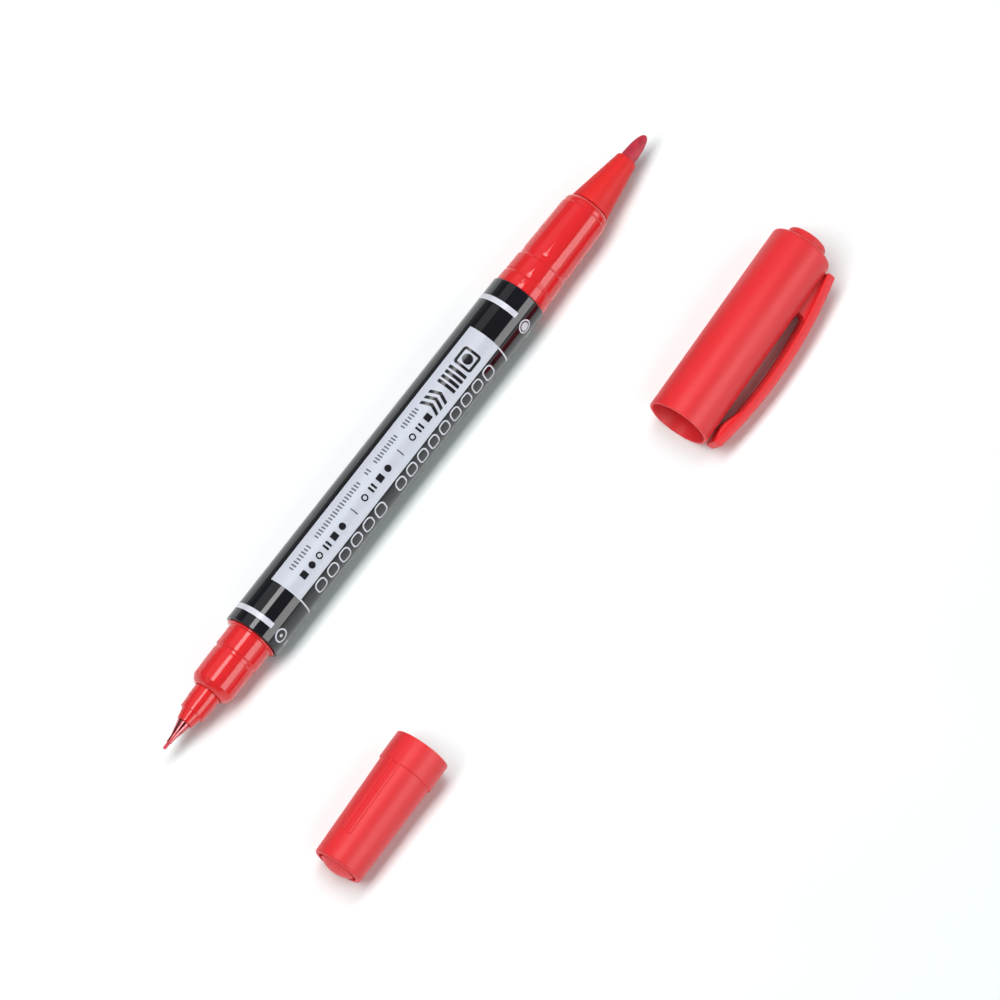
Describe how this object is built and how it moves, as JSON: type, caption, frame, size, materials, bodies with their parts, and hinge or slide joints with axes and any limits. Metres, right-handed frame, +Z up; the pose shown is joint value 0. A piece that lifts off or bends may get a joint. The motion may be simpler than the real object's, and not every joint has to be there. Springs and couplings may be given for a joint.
{
  "type": "twin-tip permanent marker",
  "caption": "Slim twin-tip marker with a bullet nib and a metal-clad fine nib, uncapped, with its clip cap and its small ribbed cap lying beside it.",
  "frame": {"origin": "middle of the layout's footprint, on the surface that everything lies on", "axes": "+X along the pen from its fine nib to its thick nib, +Y to the pen's left, away from the caps, +Z up"},
  "size_m": [0.1336, 0.0481, 0.0111],
  "materials": {
    "barrel_black": "glossy black, screen printed",
    "gloss_red": "glossy moulded red",
    "nose_red": "satin moulded red",
    "satin_red": "satin moulded red",
    "nib_red": "ink-soaked nib",
    "ink_fibre": "bonded polyester fibre soaked with red ink",
    "ferrule_metal": "polished, wet with red ink",
    "natural_plastic": "natural, slightly milky",
    "clear_film": "clear film"
  },
  "bodies": {
    "pen": {"barrel": "barrel_black", "fine_section": "gloss_red", "fine_tip_holder": "gloss_red", "fine_ferrule": "ferrule_metal", "fine_nib": "nib_red", "fine_wick": "ink_fibre", "ink_reservoir": "ink_fibre", "reservoir_film": "clear_film", "thick_section": "gloss_red", "thick_nose": "nose_red", "thick_nib": "nib_red"},
    "large_cap": {"large_cap_shell": "satin_red", "large_cap_plug": "satin_red", "large_cap_liner": "natural_plastic"},
    "clip": {"pocket_clip": "satin_red"},
    "small_cap": {"small_cap_shell": "satin_red", "small_cap_plug": "satin_red", "small_cap_liner": "natural_plastic"}
  },
  "joints": [
    {"name": "large_cap_pull", "type": "slide", "parent": "pen", "child": "large_cap", "axis": [0.9992, 0.041, 0], "range_m": [0, 0.036]},
    {"name": "small_cap_pull", "type": "slide", "parent": "pen", "child": "small_cap", "axis": [-0.9996, -0.0279, 0], "range_m": [0, 0.024]},
    {"name": "clip_flex", "type": "hinge", "parent": "large_cap", "child": "clip", "pos_m": [0.05557, -0.02138, 0.00269], "axis": [0.015, -0.3662, 0.9304], "range_deg": [0, 5], "stiffness_Nm_per_rad": 1.5}
  ]
}
